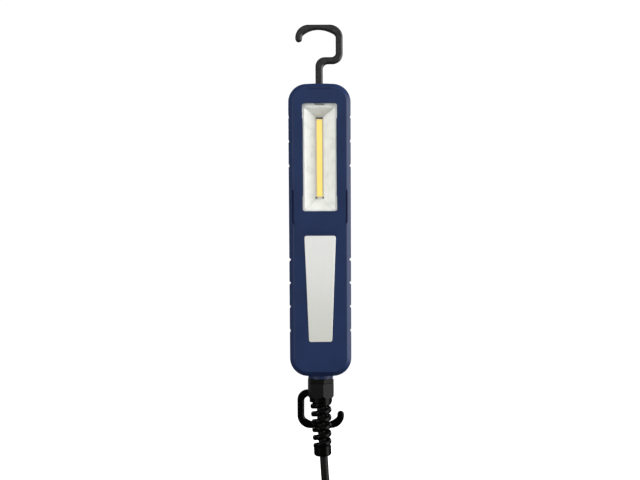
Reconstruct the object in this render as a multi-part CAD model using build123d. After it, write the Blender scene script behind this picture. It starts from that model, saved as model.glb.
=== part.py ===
from build123d import *
import math
import os

# Corded LED hand lamp with a swivel hook at each end.
# Frame: +Z up, +X right, the light leaves towards -Y. The lamp hangs from its top hook, and the origin is
# the point where that hook rests on its bar: the middle of the inside of the top bend. Millimetres.

# ---------------------------------------------------------------- driving dimensions
# housing
TOP_Z = -47.9
HEIGHT = 248.3
HALF_WIDTH_TOP = 26.6
HALF_WIDTH_BOTTOM = 26.0
FRONT_DEPTH = 16.0
REAR_DEPTH = 23.0
CORNER_RADIUS = 15.5
TOP_CROWN_RADIUS = 200.0
WALL = 2.5
FRONT_BEVEL = 3.7
INNER_BEVEL = 2.7
BEVEL_ROUNDING = 1.2
REAR_ROUNDING = 5.0
REAR_INNER_ROUNDING = 3.5
GAP = 0.05
# how far a cut, or a piece that is joined on, runs past the face that it meets
OVER = 1.0
FAR = 600.0
BOTTOM_Z = TOP_Z - HEIGHT
FRONT_Y = -FRONT_DEPTH
INNER_FRONT_Y = FRONT_Y + WALL
INNER_REAR_Y = REAR_DEPTH - WALL
INNER_TOP_Z = TOP_Z - WALL
INNER_BOTTOM_Z = BOTTOM_Z + WALL

# grip grooves across both sides, and the two slots beside the window
GROOVE_ZS = (-76.2, -96.8, -117.6, -197.4, -217.2, -237.3, -257.6)
GROOVE_DEPTH = 1.25
GROOVE_SHOULDER = 1.1
GROOVE_HALF = 1.9
SLOT_X = 22.8
SLOT_TOP_Z = -138.4
SLOT_LENGTH = 27.6
SLOT_WIDTH = 1.2
SLOT_DEPTH = 1.7
SLOT_TAIL = 2.6
SLOT_TAIL_TURN = 60.0
LIP_WIDTH = 20.6
LIP_HEIGHT = 0.9
LIP_Z = -52.5
LIP_DEPTH = 0.8

# window, lens and reflector
WINDOW_TOP_Z = -65.0
WINDOW_HEIGHT = 91.4
WINDOW_WIDTH = 28.4
WINDOW_TOP_WIDTH = 29.6
WINDOW_BOTTOM_WIDTH = 29.1
WINDOW_END = 14.0
WINDOW_CORNER = 2.0
LENS_THICKNESS = 2.2
LENS_GAP = 0.12
LENS_BEVEL = 0.2
TROUGH_MARGIN = 1.3
TROUGH_TOP_MARGIN = 3.5
TROUGH_FLOOR_WIDTH = 7.0
TROUGH_FLOOR_HEIGHT = 70.5
TROUGH_DEPTH = 8.5
REFLECTOR_WALL = 1.2
REFLECTOR_LAP = 2.4
REFLECTOR_CORNER = 3.0
TAB_WIDTH = 9.0
TAB_HEIGHT = 1.5
TAB_STEP = 0.8
WINDOW_MID_Z = WINDOW_TOP_Z - WINDOW_HEIGHT / 2

# light source and heat sink
LED_STRIP_WIDTH = 5.0
LED_STRIP_LENGTH = 66.0
LED_STRIP_THICKNESS = 0.6
LED_STRIP_GAP = 0.01
LED_STRIP_ROUNDING = 0.3
LED_BOARD_WIDTH = 11.0
LED_BOARD_TOP_Z = -72.0
LED_BOARD_LENGTH = 82.0
LED_BOARD_THICKNESS = 1.0
SINK_HALF_WIDTH = 22.0
SINK_TOP_Z = -72.0
SINK_LENGTH = 78.0
SINK_BASE = 3.0
SINK_FINS = 5
SINK_FIN_PITCH = 8.4
SINK_FIN_THICKNESS = 1.5
SINK_FIN_HEIGHT = 8.0
SINK_SCREW_X = 20.2
SINK_HEAD_RADIUS = 1.7
SINK_SCREW_ZS = (-77.0, -145.0)
REFLECTOR_BACK_Y = INNER_FRONT_Y + TROUGH_DEPTH
LED_BACK_Y = REFLECTOR_BACK_Y + LED_BOARD_THICKNESS
SINK_BACK_Y = LED_BACK_Y + SINK_BASE

# label plate, its pocket and the step above it
LABEL_TOP_Z = -177.3
LABEL_HEIGHT = 89.6
LABEL_HALF_TOP = 13.26
LABEL_HALF_BOTTOM = 9.7
LABEL_CORNER = 1.7
LABEL_THICKNESS = 1.1
LABEL_POCKET = 0.9
LABEL_STEP_TOP_Z = -174.4
LABEL_STEP_DEPTH = 0.35
LABEL_GAP = 0.12
LABEL_BEVEL = 0.18

# screws that join the shells, from the rear
SCREW_PLACES = ((20.6, -60.4), (20.6, -168.0), (19.6, -281.0))
SCREW_RADIUS = 1.5
SCREW_HEAD_RADIUS = 2.75
SCREW_HEAD_HEIGHT = 2.2
SCREW_SEAT_Y = 14.0
SCREW_DEPTH_Y = -8.0
BOSS_RADIUS = 3.0
PILLAR_RADIUS = 4.0
SCREW_CLEARANCE = 0.2
HEAD_ROUNDING_SHARE = 0.3
SOCKET_SHARE = 0.45

# seal between the shells
SEAL_OUT = 0.75
SEAL_WIDTH = 1.0
SEAL_HEIGHT = 1.0

# driver board and what stands on it
BOARD_HALF_WIDTH = 17.0
BOARD_TOP_Z = -176.5
BOARD_LENGTH = 85.0
BOARD_THICKNESS = 1.6
BOARD_FRONT_Y = 1.0
BOARD_REAR_Y = BOARD_FRONT_Y + BOARD_THICKNESS
# blocks on the board: size along x, height, size along z, then x and z of the middle
CORE_SIZE = (17.0, 13.0, 4.0)
CORE_X = -4.0
CORE_ZS = (-206.0, -221.0)
WINDING_WIDTH = 13.0
WINDING_GAP = 0.5
FILTER_CAPACITOR = (15.0, 12.0, 6.5, 0.0, -234.5)
BRIDGE_RECTIFIER = (6.5, 3.0, 9.0, 11.5, -222.0)
BLOCK_ROUNDING = 0.6
# radius, height, x and z
BULK_CAPACITOR = (5.0, 16.0, 10.5, -205.0)
TERMINAL_SIZE = (12.0, 8.0, 8.0)
TERMINAL_PITCH = 5.2
TERMINAL_HOLE_RADIUS = 1.0
TERMINAL_HOLE_HALF = 4.0
TERMINAL_SCREW_RADIUS = 1.4
TERMINAL_SCREW_DEPTH = 1.0
MAINS_TERMINAL = (0.0, -256.0)
LED_TERMINAL = (-5.5, -182.5)
FUSE_Z = -244.0
FUSE_RISE = 3.0
FUSE_RADIUS = 2.2
FUSE_LENGTH = 11.0
FUSE_CAP_RADIUS = 2.6
FUSE_CAP_LENGTH = 3.0
FUSE_CAP_X = 6.0
WIRE_RADIUS = 0.7
WIRE_BEND = 2.5
WIRE_Y = BOARD_REAR_Y + 3.4
BOARD_POST_X = 14.0
BOARD_POST_ZS = (-181.0, -257.0)
POST_RADIUS = 2.4
SMALL_SCREW_RADIUS = 1.0
SMALL_HEAD_RADIUS = 1.9
SMALL_HEAD_HEIGHT = 1.4
SMALL_CLEARANCE = 0.1
SMALL_SCREW_END = 4.5
SMALL_HOLE = 5.0

# push switch in the rear shell
SWITCH_Z = -163.0
SWITCH_BORE = 5.5
SWITCH_TUBE_RADIUS = 6.5
SWITCH_FLANGE_RADIUS = 8.6
SWITCH_FLANGE = 1.2
SWITCH_TUBE_END_Y = 16.4
BUTTON_RADIUS = SWITCH_BORE - GAP
BUTTON_TOP_Y = 26.4
BUTTON_FLANGE_RADIUS = 6.2
BUTTON_FLANGE_Y = 14.9
BUTTON_FLANGE = 1.2
SWITCH_BODY_RADIUS = 8.0
SWITCH_BODY_Y = 4.0
SWITCH_FLOOR_Y = 10.4
SPRING_RADIUS = 4.0
SPRING_WIRE = 0.35
SPRING_TURNS = 4
SWITCH_WIRE_PITCH = 2.2
SWITCH_FLANGE_ROUNDING = 0.6
BUTTON_ROUNDING = 1.2
PUSHER_RADIUS = 2.2
PUSHER_LENGTH = 2.6
DIMPLE_RADIUS = 15.0
DIMPLE_DEPTH = 0.6
SWITCH_BLOCK = 6.0
SWITCH_BLOCK_X = 10.0
SWITCH_BLOCK_DEPTH = 7.0
SWITCH_STEP = 1.2

# swivel hooks
HOOK_THICKNESS = 6.2
HOOK_CHAMFER = 1.45
HOOK_REACH = 20.4
HOOK_TOP = 4.1
HOOK_SHOULDER_RADIUS = 11.3
HOOK_TIP_RADIUS = 2.95
HOOK_TIP_Z = -7.6
HOOK_CROWN_RADIUS = 19.5
HOOK_CROWN_FAR_RADIUS = 25.0
HOOK_CROWN_X = -0.9
HOOK_INNER_X = 14.3
HOOK_JOG_TOP = -23.8
HOOK_JOG_BOTTOM = -29.5
HOOK_ELBOW_RADIUS = 8.9
HOOK_INNER_ELBOW = 3.8
HOOK_NECK_RADIUS = 4.6
HOOK_NECK_OUTER = 8.1
HOOK_STEM_HALF = 3.2
HOOK_CORNER_ROUNDING = 2.4
HOOK_FAR_CORNER_ROUNDING = 3.6
JOURNAL_RADIUS = 2.6
JOURNAL_CLEARANCE = 0.05
BUSH_RADIUS = 4.0
BUSH_LENGTH = 10.0
BUSH_PROUD = 0.5
CLIP_GROOVE_RADIUS = 1.9
CLIP_RADIUS = 4.2
CLIP_THICKNESS = 0.8
WASHER_THICKNESS = 0.6
JOURNAL_TAIL = 1.4
BUSH_BOSS_RADIUS = 5.2
LOWER_HOOK_Y = 16.2
LOWER_HOOK_DROP = 44.9

# cable gland with spiral bend protection
COLLAR_RADIUS = 10.7
COLLAR_END_Z = -299.1
GLAND_THREAD_RADIUS = 8.0
GLAND_TOP_Z = -287.5
GLAND_AF = 20.0
GLAND_TURN = 13.6
NUT_AF = 20.4
NUT_TURN = 10.5
GLAND_HEX_END_Z = -303.2
NUT_TOP_Z = -303.5
GLAND_END_Z = -311.0
GLAND_MALE_RADIUS = 7.6
NUT_HEX_END_Z = -315.8
NUT_END_Z = -319.6
NUT_COLLAR_RADIUS = 9.7
NUT_BORE_RADIUS = 4.7
SPIRAL_SEAT_RADIUS = 7.2
SPIRAL_SEAT_Z = -315.4
LOCKNUT_THICKNESS = 4.0
GASKET_THICKNESS = 0.8
INSERT_RADIUS = 5.9
SPIRAL_PITCH = 6.8
SPIRAL_START_Z = -359.4
SPIRAL_TOP_Z = -318.6
SPIRAL_TURN = 66.0
SPIRAL_OUTER_TOP = 9.25
SPIRAL_OUTER_BOTTOM = 7.75
SPIRAL_SECTION_WIDTH = 4.8
SPIRAL_SECTION_HEIGHT = 4.8
SPIRAL_SECTION_ROUNDING = 1.9
SPIRAL_BORE = 4.6
SPIRAL_LEAN = 1.8
END_COLLAR_RADIUS = 7.5
END_COLLAR_TOP_Z = -357.6
END_COLLAR_END_Z = -366.0

# mains cord: 7 mm rubber, 5 m free length
CORD_RADIUS = 3.5
BEND_SHARE = 0.45
CORD_INNER_TOP_Z = -276.0
CORD_START_Z = -318.0
FLOOR_Z = -456.0
TIE_THICKNESS = 1.0
COIL_TURN_RADIUS = 49.0
COIL_SIDE = 28.0
COIL_ROUNDING = 3.5
COIL_CENTRE = (5.4, 72.3)
COIL_TOP_TURN_Z = FLOOR_Z + TIE_THICKNESS + COIL_SIDE - CORD_RADIUS
COIL_OUTER_TURN = COIL_TURN_RADIUS + COIL_SIDE / 2 - CORD_RADIUS
TIE_ANGLES = (60.0, 235.0)
TIE_WIDTH = 9.0
# the free cord hangs from the strain relief and lies over on to the coil
CORD_ROUTE = (
    (0.0, 0.0, CORD_START_Z),
    (0.0, 0.0, -336.0),
    (2.4, 0.0, -367.0),
    (3.9, 0.1, -396.5),
    (13.4, 6.0, -418.6),
    (31.3, 17.9, COIL_TOP_TURN_Z),
    (50.0, 30.8, COIL_TOP_TURN_Z),
)
# the plug's end of the cord leaves the lowest outer turn
PLUG_TILT = 8.0
PLUG_FACE = (-54.1, -19.0)
LEAD_START = (COIL_CENTRE[0] - COIL_OUTER_TURN, COIL_CENTRE[1])

# two-pin plug
PLUG_WIDTH = 36.0
PLUG_THICKNESS = 26.0
PLUG_CORNER = 12.8
PLUG_BLOCK = 12.0
PLUG_LENGTH = 42.0
PLUG_RELIEF = 22.0
PLUG_RELIEF_RADII = (6.2, 4.4)
PIN_RADIUS = 2.4
PIN_LENGTH = 19.0
PIN_SPACING = 19.0
PIN_ROOT = 8.0
PIN_ROOT_RADIUS = 2.0
PIN_TIP_ROUNDING = 1.1


# ---------------------------------------------------------------- helpers
def slab(sketch, y_from, y_to):
    """A sketch in (x, z), extruded from y_from to y_to."""
    plane = Plane(origin=(0, y_to, 0), x_dir=(1, 0, 0), z_dir=(0, -1, 0))
    return extrude(plane * sketch, amount=y_to - y_from, dir=(0, -1, 0))


def rod_y(radius, y_from, y_to, x=0.0, z=0.0):
    return slab(Pos(x, z) * Circle(radius), y_from, y_to)


def rod_z(radius, z_from, z_to, x=0.0, y=0.0):
    """A round bar along Z. z_from is the lower end."""
    return Pos(x, y, (z_from + z_to) / 2) * Cylinder(radius, z_to - z_from)


def hex_z(across_flats, z_from, z_to, turn=0.0):
    """A hexagonal bar along Z, with one corner turned by `turn` degrees from -Y towards +X."""
    hexagon = Rot(0, 0, turn - 90) * RegularPolygon(across_flats / 2, 6, major_radius=False)
    return extrude(Pos(0, 0, z_from) * hexagon, amount=z_to - z_from, dir=(0, 0, 1))


def cone_z(radius_low, radius_high, z_from, z_to):
    return Pos(0, 0, (z_from + z_to) / 2) * Cone(radius_low, radius_high, z_to - z_from)


def block(x_size, y_from, y_to, z_from, z_to, x=0.0):
    size = (x_size, y_to - y_from, z_to - z_from)
    return Pos(x, (y_from + y_to) / 2, (z_from + z_to) / 2) * Box(*size)


def both_sides(shape):
    return shape + mirror(shape, about=Plane.YZ)


def half_space(front):
    """Everything on one side of the parting plane."""
    y_from, y_to = (-FAR, 0.0) if front else (0.0, FAR)
    return block(2 * FAR, y_from, y_to, -FAR, FAR)


def bend_radii(points):
    """The largest tangent arcs that the runs beside each corner leave room for."""
    points = [Vector(*p) for p in points]
    radii = []
    for before, corner, after in zip(points, points[1:], points[2:]):
        first = corner - before
        second = after - corner
        turn = math.radians(first.get_angle(second))
        radii.append(BEND_SHARE * min(first.length, second.length) / math.tan(turn / 2))
    return radii


def tube(points, radius, radii=None):
    """A round bar along straight runs joined by tangent arcs."""
    path = FilletPolyline(*points, radius=radii or bend_radii(points))
    section = Plane(origin=path @ 0, z_dir=path % 0) * Circle(radius)
    return sweep(section, path=path), path.length


def save(name, shape):
    shape.label = name
    export_step(shape, f"parts/{name}.step")


def level_edges(shape, y):
    """The edges that lie in the plane y."""
    return shape.edges().filter_by(lambda e: abs((e @ 0).Y - y) < 0.01 and abs((e @ 1).Y - y) < 0.01)


# ---------------------------------------------------------------- housing
def outline(inset=0.0):
    """The housing's outline in (x, z), a little narrower at the bottom."""
    top, bottom = TOP_Z - inset, BOTTOM_Z + inset
    half_top, half_bottom = HALF_WIDTH_TOP - inset, HALF_WIDTH_BOTTOM - inset
    corners = ((-half_top, top), (half_top, top), (half_bottom, bottom), (-half_bottom, bottom))
    crown = Pos(0, TOP_Z - TOP_CROWN_RADIUS) * Circle(TOP_CROWN_RADIUS - inset)
    sharp = Polygon(*corners, align=None) & crown
    return fillet(sharp.vertices(), CORNER_RADIUS - inset)


def half_width(z):
    share = (TOP_Z - z) / HEIGHT
    return HALF_WIDTH_TOP + (HALF_WIDTH_BOTTOM - HALF_WIDTH_TOP) * share


def grip_grooves():
    """Grooves with rounded shoulders across both sides."""
    cutters = Part()
    for z in GROOVE_ZS:
        side = half_width(z)
        cut = Pos(side, z) * Rectangle(2 * GROOVE_DEPTH, 2 * GROOVE_HALF)
        for edge in (-1, 1):
            cut -= Pos(side - GROOVE_SHOULDER, z + edge * GROOVE_HALF) * Circle(GROOVE_SHOULDER)
        cutters += both_sides(slab(cut, FRONT_Y - OVER, REAR_DEPTH + OVER))
    return cutters


def side_slots():
    """A thin slot at each edge of the front face, with a short tail that turns inwards."""
    mid_z = SLOT_TOP_Z - SLOT_LENGTH / 2
    end_z = SLOT_TOP_Z - SLOT_LENGTH
    line = Pos(SLOT_X, mid_z) * SlotOverall(SLOT_LENGTH, SLOT_WIDTH, rotation=90)
    tail = Pos(SLOT_X - SLOT_TAIL / 4, end_z) * SlotOverall(SLOT_TAIL, SLOT_WIDTH, rotation=SLOT_TAIL_TURN)
    return both_sides(slab(line + tail, FRONT_Y - OVER, FRONT_Y + SLOT_DEPTH))


def window_outline(grow=0.0):
    """The window is a little wider at its two ends than along the light strip."""
    end = WINDOW_END + grow
    top = Pos(0, WINDOW_TOP_Z + grow - (end + grow) / 2)
    bottom = Pos(0, WINDOW_TOP_Z - WINDOW_HEIGHT - grow + (end + grow) / 2)
    middle = Pos(0, WINDOW_MID_Z) * Rectangle(WINDOW_WIDTH + 2 * grow, WINDOW_HEIGHT - WINDOW_END)
    top_end = top * RectangleRounded(WINDOW_TOP_WIDTH + 2 * grow, end + grow, WINDOW_CORNER + grow)
    bottom_end = bottom * RectangleRounded(WINDOW_BOTTOM_WIDTH + 2 * grow, end + grow, WINDOW_CORNER + grow)
    return middle + top_end + bottom_end


def label_outline(grow=0.0):
    top, bottom = LABEL_TOP_Z + grow, LABEL_TOP_Z - LABEL_HEIGHT - grow
    half_top, half_bottom = LABEL_HALF_TOP + grow, LABEL_HALF_BOTTOM + grow
    corners = ((-half_top, top), (half_top, top), (half_bottom, bottom), (-half_bottom, bottom))
    return fillet(Polygon(*corners, align=None).vertices(), LABEL_CORNER + grow)


def label_cut():
    pocket = slab(label_outline(LABEL_GAP), FRONT_Y - OVER, FRONT_Y + LABEL_POCKET)
    step_height = LABEL_STEP_TOP_Z - LABEL_TOP_Z + LABEL_CORNER + OVER
    step_mid = LABEL_STEP_TOP_Z - step_height / 2
    step = Pos(0, step_mid) * RectangleRounded(2 * (LABEL_HALF_TOP + LABEL_GAP), step_height, LABEL_CORNER)
    return pocket + slab(step, FRONT_Y - OVER, FRONT_Y + LABEL_STEP_DEPTH)


def hook_bush_boss(y, z_wall, inward):
    """The boss inside an end wall that holds a hook's bush. inward is -1 at the top, +1 at the bottom."""
    z_far = z_wall + inward * (BUSH_LENGTH - WALL - BUSH_PROUD)
    return rod_z(BUSH_BOSS_RADIUS, min(z_wall, z_far), max(z_wall, z_far), y=y)


def end_holes():
    """Holes for the hook bushes and the cable gland, on the parting plane or behind it."""
    bush = BUSH_RADIUS + GAP
    top_hole = rod_z(bush, TOP_Z - BUSH_LENGTH - OVER, TOP_Z + OVER)
    lower_hole = rod_z(bush, BOTTOM_Z - OVER, BOTTOM_Z + BUSH_LENGTH + OVER, y=LOWER_HOOK_Y)
    gland_hole = rod_z(GLAND_THREAD_RADIUS + GAP, COLLAR_END_Z - OVER, INNER_BOTTOM_Z + OVER)
    return top_hole + lower_hole + gland_hole


def gland_collar():
    return rod_z(COLLAR_RADIUS, COLLAR_END_Z, BOTTOM_Z + CORNER_RADIUS / 2)


def front_shell():
    body = slab(outline(), FRONT_Y, 0)
    body = chamfer(body.faces().sort_by(Axis.Y)[0].edges(), FRONT_BEVEL)
    body = fillet(level_edges(body, FRONT_Y) + level_edges(body, FRONT_Y + FRONT_BEVEL), BEVEL_ROUNDING)
    cavity = slab(outline(WALL), INNER_FRONT_Y, OVER)
    cavity = chamfer(cavity.faces().sort_by(Axis.Y)[0].edges(), INNER_BEVEL)
    body += gland_collar() & half_space(front=True)
    body -= cavity
    inner = Part()
    for x, z in SCREW_PLACES:
        inner += both_sides(rod_y(BOSS_RADIUS, INNER_FRONT_Y - OVER, 0, x, z))
    for z in SINK_SCREW_ZS:
        inner += both_sides(rod_y(POST_RADIUS, INNER_FRONT_Y - OVER, LED_BACK_Y, SINK_SCREW_X, z))
    for z in BOARD_POST_ZS:
        inner += both_sides(rod_y(POST_RADIUS, INNER_FRONT_Y - OVER, BOARD_FRONT_Y - OVER, BOARD_POST_X, z))
    bore = SMALL_SCREW_RADIUS + GAP
    inner += hook_bush_boss(0, INNER_TOP_Z, -1) & half_space(front=True)
    body += inner & slab(outline(OVER), FRONT_Y + OVER, 0)
    for z in BOARD_POST_ZS:
        body += both_sides(rod_y(POST_RADIUS, -2 * OVER, BOARD_FRONT_Y, BOARD_POST_X, z))
    for x, z in SCREW_PLACES:
        body -= both_sides(rod_y(SCREW_RADIUS + GAP, SCREW_DEPTH_Y - OVER, OVER, x, z))
    for z in SINK_SCREW_ZS:
        body -= both_sides(rod_y(bore, LED_BACK_Y - SMALL_HOLE, LED_BACK_Y + OVER, SINK_SCREW_X, z))
    for z in BOARD_POST_ZS:
        body -= both_sides(rod_y(bore, -SMALL_HOLE, BOARD_FRONT_Y + OVER, BOARD_POST_X, z))
    body -= slab(window_outline(), FRONT_Y - OVER, INNER_FRONT_Y + OVER)
    body -= label_cut()
    body -= side_slots()
    body -= slab(Pos(0, LIP_Z) * SlotOverall(LIP_WIDTH, LIP_HEIGHT), FRONT_Y - OVER, FRONT_Y + LIP_DEPTH)
    body -= grip_grooves()
    body -= end_holes()
    return body


def rear_shell():
    body = slab(outline(), 0, REAR_DEPTH)
    body = fillet(body.faces().sort_by(Axis.Y)[-1].edges(), REAR_ROUNDING)
    cavity = slab(outline(WALL), -OVER, INNER_REAR_Y)
    cavity = fillet(cavity.faces().sort_by(Axis.Y)[-1].edges(), REAR_INNER_ROUNDING)
    body += gland_collar() & half_space(front=False)
    body -= cavity
    inner = hook_bush_boss(0, INNER_TOP_Z, -1) & half_space(front=False)
    inner += hook_bush_boss(LOWER_HOOK_Y, INNER_BOTTOM_Z, 1)
    for x, z in SCREW_PLACES:
        inner += both_sides(rod_y(PILLAR_RADIUS, 0, INNER_REAR_Y + OVER, x, z))
    body += inner & slab(outline(OVER), 0, INNER_REAR_Y + OVER)
    for x, z in SCREW_PLACES:
        body -= both_sides(rod_y(SCREW_RADIUS + SCREW_CLEARANCE, -OVER, SCREW_SEAT_Y + OVER, x, z))
        body -= both_sides(rod_y(SCREW_HEAD_RADIUS + SCREW_CLEARANCE, SCREW_SEAT_Y, REAR_DEPTH + OVER, x, z))
    body -= seal_loop(0.0, SEAL_HEIGHT)
    body -= rod_y(SWITCH_TUBE_RADIUS + GAP, INNER_REAR_Y - OVER, REAR_DEPTH + OVER, z=SWITCH_Z)
    body -= grip_grooves()
    body -= end_holes()
    return body


def seal_loop(slack, height):
    ring = outline(SEAL_OUT + slack) - outline(SEAL_OUT + SEAL_WIDTH - slack)
    return slab(ring, slack, height - slack)


def shell_seal():
    """The seal stops each side of the top bush and of the gland, and at each grip groove."""
    bush = rod_z(BUSH_BOSS_RADIUS, INNER_TOP_Z, TOP_Z + OVER)
    return seal_loop(GAP, SEAL_HEIGHT) - gland_collar() - bush - grip_grooves()


def screw(radius, head_radius, head_height, y_seat, y_tip, x, z):
    """A pan-head screw along Y with a hexagon socket, its head towards +Y."""
    head = rod_y(head_radius, y_seat + GAP, y_seat + head_height, x, z)
    head = fillet(head.faces().sort_by(Axis.Y)[-1].edges(), head_height * HEAD_ROUNDING_SHARE)
    socket_floor = y_seat + head_height * SOCKET_SHARE
    hexagon = Pos(x, z) * RegularPolygon(head_radius * SOCKET_SHARE, 6)
    socket = slab(hexagon, socket_floor, y_seat + head_height + OVER)
    return head + rod_y(radius, y_tip, y_seat + head_height / 3, x, z) - socket


def label_plate():
    plate = slab(label_outline(), FRONT_Y + LABEL_POCKET - LABEL_THICKNESS, FRONT_Y + LABEL_POCKET)
    return chamfer(plate.faces().sort_by(Axis.Y)[0].edges(), LABEL_BEVEL)


# ---------------------------------------------------------------- light source
def window_lens():
    lens = slab(window_outline(-LENS_GAP), INNER_FRONT_Y - LENS_THICKNESS, INNER_FRONT_Y)
    return chamfer(lens.faces().sort_by(Axis.Y)[0].edges(), LENS_BEVEL)


def trough(grow, y_front, y_back):
    """The tapered space of the reflector, as a loft from its mouth to its floor."""
    mouth_width = WINDOW_WIDTH - 2 * TROUGH_MARGIN + 2 * grow
    mouth_height = WINDOW_HEIGHT - TROUGH_TOP_MARGIN - TROUGH_MARGIN + 2 * grow
    mouth_z = WINDOW_MID_Z - (TROUGH_TOP_MARGIN - TROUGH_MARGIN) / 2
    at_front = Plane(origin=(0, y_front, 0), x_dir=(1, 0, 0), z_dir=(0, -1, 0))
    at_back = Plane(origin=(0, y_back, 0), x_dir=(1, 0, 0), z_dir=(0, -1, 0))
    mouth = at_front * Pos(0, mouth_z) * Rectangle(mouth_width, mouth_height)
    floor_size = (TROUGH_FLOOR_WIDTH + 2 * grow, TROUGH_FLOOR_HEIGHT + 2 * grow)
    floor = at_back * Pos(0, WINDOW_MID_Z) * Rectangle(*floor_size)
    return loft([mouth, floor], ruled=True)


def reflector():
    """White moulded trough with a flange behind the front wall."""
    y_front, y_back = INNER_FRONT_Y + GAP, REFLECTOR_BACK_Y - GAP
    flange_width = WINDOW_TOP_WIDTH + 2 * REFLECTOR_LAP
    flange_height = WINDOW_HEIGHT + 2 * REFLECTOR_LAP
    flange = Pos(0, WINDOW_MID_Z) * RectangleRounded(flange_width, flange_height, REFLECTOR_CORNER)
    body = slab(flange, y_front, y_front + REFLECTOR_WALL)
    body += trough(REFLECTOR_WALL, y_front, y_back)
    body -= trough(0, y_front, y_back)
    tab = Pos(0, WINDOW_TOP_Z - TAB_HEIGHT / 2) * Rectangle(TAB_WIDTH, TAB_HEIGHT)
    return body - slab(tab, y_front - OVER, y_front + TAB_STEP)


def led_board():
    z_from = LED_BOARD_TOP_Z - LED_BOARD_LENGTH
    return block(LED_BOARD_WIDTH, REFLECTOR_BACK_Y, LED_BACK_Y - GAP, z_from, LED_BOARD_TOP_Z)


def led_phosphor():
    y_to = REFLECTOR_BACK_Y - LED_STRIP_GAP
    half = LED_STRIP_LENGTH / 2
    strip = block(LED_STRIP_WIDTH, y_to - LED_STRIP_THICKNESS, y_to, WINDOW_MID_Z - half, WINDOW_MID_Z + half)
    return fillet(strip.faces().sort_by(Axis.Y)[0].edges(), LED_STRIP_ROUNDING)


def heat_sink():
    z_from = SINK_TOP_Z - SINK_LENGTH
    body = block(2 * SINK_HALF_WIDTH, LED_BACK_Y, SINK_BACK_Y, z_from, SINK_TOP_Z)
    for number in range(SINK_FINS):
        x = (number - (SINK_FINS - 1) / 2) * SINK_FIN_PITCH
        body += block(SINK_FIN_THICKNESS, SINK_BACK_Y, SINK_BACK_Y + SINK_FIN_HEIGHT, z_from, SINK_TOP_Z, x)
    bore = SMALL_SCREW_RADIUS + SMALL_CLEARANCE
    for z in SINK_SCREW_ZS:
        hole = rod_y(bore, LED_BACK_Y - OVER, SINK_BACK_Y + OVER, SINK_SCREW_X, z)
        body -= both_sides(hole)
    return body


def heat_sink_screws():
    group = Part()
    for z in SINK_SCREW_ZS:
        head = (SINK_HEAD_RADIUS, SMALL_HEAD_HEIGHT)
        tip_y = LED_BACK_Y - SMALL_SCREW_END
        one = screw(SMALL_SCREW_RADIUS, *head, SINK_BACK_Y, tip_y, SINK_SCREW_X, z)
        group += both_sides(one)
    return group


# ---------------------------------------------------------------- driver
def driver_board():
    z_from = BOARD_TOP_Z - BOARD_LENGTH
    board = block(2 * BOARD_HALF_WIDTH, BOARD_FRONT_Y + GAP, BOARD_REAR_Y, z_from, BOARD_TOP_Z)
    for z in BOARD_POST_ZS:
        hole = rod_y(SMALL_SCREW_RADIUS + SMALL_CLEARANCE, 0, BOARD_REAR_Y + OVER, BOARD_POST_X, z)
        board -= both_sides(hole)
    return board


def board_screws():
    group = Part()
    for z in BOARD_POST_ZS:
        head = (SMALL_HEAD_RADIUS, SMALL_HEAD_HEIGHT)
        one = screw(SMALL_SCREW_RADIUS, *head, BOARD_REAR_Y, -SMALL_SCREW_END, BOARD_POST_X, z)
        group += both_sides(one)
    return group


def on_board(x_size, height, z_size, x, z):
    """A rounded block that stands on the rear of the driver board."""
    y_from = BOARD_REAR_Y + GAP
    part = block(x_size, y_from, y_from + height, z - z_size / 2, z + z_size / 2, x)
    return fillet(part.edges().filter_by(Axis.Y), BLOCK_ROUNDING)


def terminal(x, z, entry):
    """A two-way terminal block. entry is -1 where its wires come from below, +1 from above."""
    body = on_board(*TERMINAL_SIZE, x, z)
    top_y = BOARD_REAR_Y + TERMINAL_SIZE[1]
    ends = sorted((z - entry * OVER, z + entry * (TERMINAL_HOLE_HALF + OVER)))
    for side in (-0.5, 0.5):
        hole_x = x + side * TERMINAL_PITCH
        body -= rod_z(TERMINAL_HOLE_RADIUS, *ends, hole_x, WIRE_Y)
        body -= rod_y(TERMINAL_SCREW_RADIUS, top_y - TERMINAL_SCREW_DEPTH, top_y + OVER, hole_x, z)
    return body


def driver_transformer():
    """An E-core with its winding between the two halves."""
    width, height, depth = CORE_SIZE
    z_from, z_to = CORE_ZS[1] + depth / 2 - WINDING_GAP, CORE_ZS[0] - depth / 2 + WINDING_GAP
    core = on_board(*CORE_SIZE, CORE_X, CORE_ZS[0]) + on_board(*CORE_SIZE, CORE_X, CORE_ZS[1])
    winding = block(WINDING_WIDTH, BOARD_REAR_Y + OVER, BOARD_REAR_Y + height - OVER, z_from, z_to, CORE_X)
    legs = block(width, BOARD_REAR_Y + OVER, BOARD_REAR_Y + 3 * OVER, z_from, z_to, CORE_X)
    return core + winding + legs


def round_part(radius, height, x, z):
    part = rod_y(radius, BOARD_REAR_Y + GAP, BOARD_REAR_Y + height, x, z)
    return fillet(part.faces().sort_by(Axis.Y)[-1].edges(), BLOCK_ROUNDING)


def driver_fuse():
    """A glass tube with a metal cap at each end."""
    middle = Pos(0, BOARD_REAR_Y + FUSE_RISE, FUSE_Z)
    body = middle * Rot(0, 90, 0) * Cylinder(FUSE_RADIUS, FUSE_LENGTH)
    cap = middle * Pos(FUSE_CAP_X, 0, 0) * Rot(0, 90, 0) * Cylinder(FUSE_CAP_RADIUS, FUSE_CAP_LENGTH)
    return body + both_sides(cap)


def wire_pair(points, offset):
    """Two insulated wires side by side, `offset` apart along X."""
    pair = Part()
    for side in (-0.5, 0.5):
        moved = [(x + side * offset, y, z) for x, y, z in points]
        pair += tube(moved, WIRE_RADIUS, [WIRE_BEND] * (len(points) - 2))[0]
    return pair


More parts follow.
